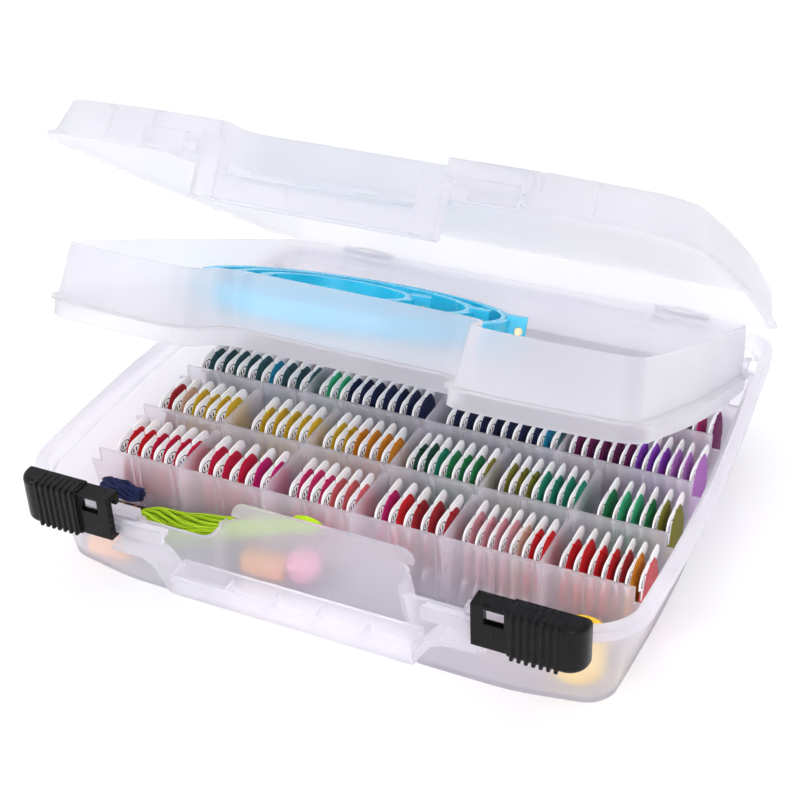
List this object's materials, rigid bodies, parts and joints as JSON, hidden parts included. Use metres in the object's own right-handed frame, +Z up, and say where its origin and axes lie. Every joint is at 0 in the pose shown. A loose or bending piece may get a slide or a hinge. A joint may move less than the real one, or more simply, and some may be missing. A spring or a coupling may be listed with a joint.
{
  "type": "embroidery thread case",
  "caption": "Hinged frosted carrying case with rows of thread cards, a flip-up tray with embroidery hoops and sliding latches.",
  "frame": {"origin": "centre of the tub's flat underside", "axes": "+X to the right seen from the handle side, +Y towards the hinges, +Z up"},
  "size_m": [0.3798, 0.3431, 0.2696],
  "materials": {
    "band_paper": "printed paper band, plain",
    "black_plastic": "satin, moulded",
    "brass": "satin",
    "card_white": "matt white card",
    "frosted_divider": "frosted, translucent",
    "frosted_plastic": "frosted, translucent",
    "hoop_blue": "semi-gloss light blue",
    "packet_orange": "plain packet",
    "pin_plastic": "plain",
    "pin_steel": "plain",
    "skein_lime": "stranded cotton",
    "tape_yellow": "plain tape",
    "thread_brick": "stranded cotton",
    "thread_coral": "stranded cotton",
    "thread_crimson": "stranded cotton",
    "thread_forest": "stranded cotton",
    "thread_green": "stranded cotton",
    "thread_lilac": "stranded cotton",
    "thread_magenta": "stranded cotton",
    "thread_mint": "stranded cotton",
    "thread_navy": "stranded cotton",
    "thread_olive": "stranded cotton",
    "thread_orange": "stranded cotton",
    "thread_peach": "stranded cotton",
    "thread_pink": "stranded cotton",
    "thread_plum": "stranded cotton",
    "thread_purple": "stranded cotton",
    "thread_red": "stranded cotton",
    "thread_rose": "stranded cotton",
    "thread_slate": "stranded cotton",
    "thread_teal": "stranded cotton",
    "thread_turquoise": "stranded cotton",
    "thread_yellow": "stranded cotton",
    "wool_pink": "wound wool"
  },
  "bodies": {
    "tub": {"base_tub": "frosted_plastic", "cards_row_1": "card_white", "cards_row_2": "card_white", "cards_row_3": "card_white", "cards_row_4": "card_white", "dividers_row_1": "frosted_divider", "dividers_row_2": "frosted_divider", "dividers_row_3": "frosted_divider", "dividers_row_4": "frosted_divider", "handle_lower": "frosted_plastic", "hinge_pins": "pin_steel", "latch_rails": "frosted_plastic", "packets": "packet_orange", "row_wall_1": "frosted_plastic", "row_wall_2": "frosted_plastic", "row_wall_3": "frosted_plastic", "row_wall_4": "frosted_plastic", "row_wall_5": "frosted_plastic", "skein_band": "band_paper", "skein_green": "skein_lime", "skein_navy": "thread_navy", "tape_roll": "tape_yellow", "threads_brick": "thread_brick", "threads_coral": "thread_coral", "threads_crimson": "thread_crimson", "threads_forest": "thread_forest", "threads_green": "thread_green", "threads_lilac": "thread_lilac", "threads_magenta": "thread_magenta", "threads_mint": "thread_mint", "threads_navy": "thread_navy", "threads_olive": "thread_olive", "threads_orange": "thread_orange", "threads_peach": "thread_peach", "threads_pink": "thread_pink", "threads_plum": "thread_plum", "threads_purple": "thread_purple", "threads_red": "thread_red", "threads_rose": "thread_rose", "threads_slate": "thread_slate", "threads_teal": "thread_teal", "threads_turquoise": "thread_turquoise", "threads_yellow": "thread_yellow", "tray_pivot_pins": "pin_plastic", "wool_ball": "wool_pink"},
    "tray": {"flip_tray": "frosted_plastic", "hoop_large_inner": "hoop_blue", "hoop_large_outer": "hoop_blue", "hoop_medium_inner": "hoop_blue", "hoop_medium_outer": "hoop_blue", "hoop_screws": "brass", "hoop_small_inner": "hoop_blue", "hoop_small_outer": "hoop_blue"},
    "lid": {"lid_shell": "frosted_plastic", "lid_handle": "frosted_plastic"},
    "latch_left": {"latch_left": "black_plastic"},
    "latch_right": {"latch_right": "black_plastic"}
  },
  "joints": [
    {"name": "lid_hinge", "type": "hinge", "parent": "tub", "child": "lid", "pos_m": [0, 0.1632, 0.0615], "axis": [-1, 0, 0], "range_deg": [-36.3, 46]},
    {"name": "tray_hinge", "type": "hinge", "parent": "tub", "child": "tray", "pos_m": [0, 0.124, 0.056], "axis": [-1, 0, 0], "range_deg": [-25.2, 32]},
    {"name": "latch_left_slide", "type": "slide", "parent": "tub", "child": "latch_left", "axis": [1, 0, 0], "range_m": [0, 0.028]},
    {"name": "latch_right_slide", "type": "slide", "parent": "tub", "child": "latch_right", "axis": [-1, 0, 0], "range_m": [0, 0.028]}
  ],
  "couplings": [
    {"joint": "tray_hinge", "follows": "lid_hinge", "ratio": 0.6942}
  ]
}
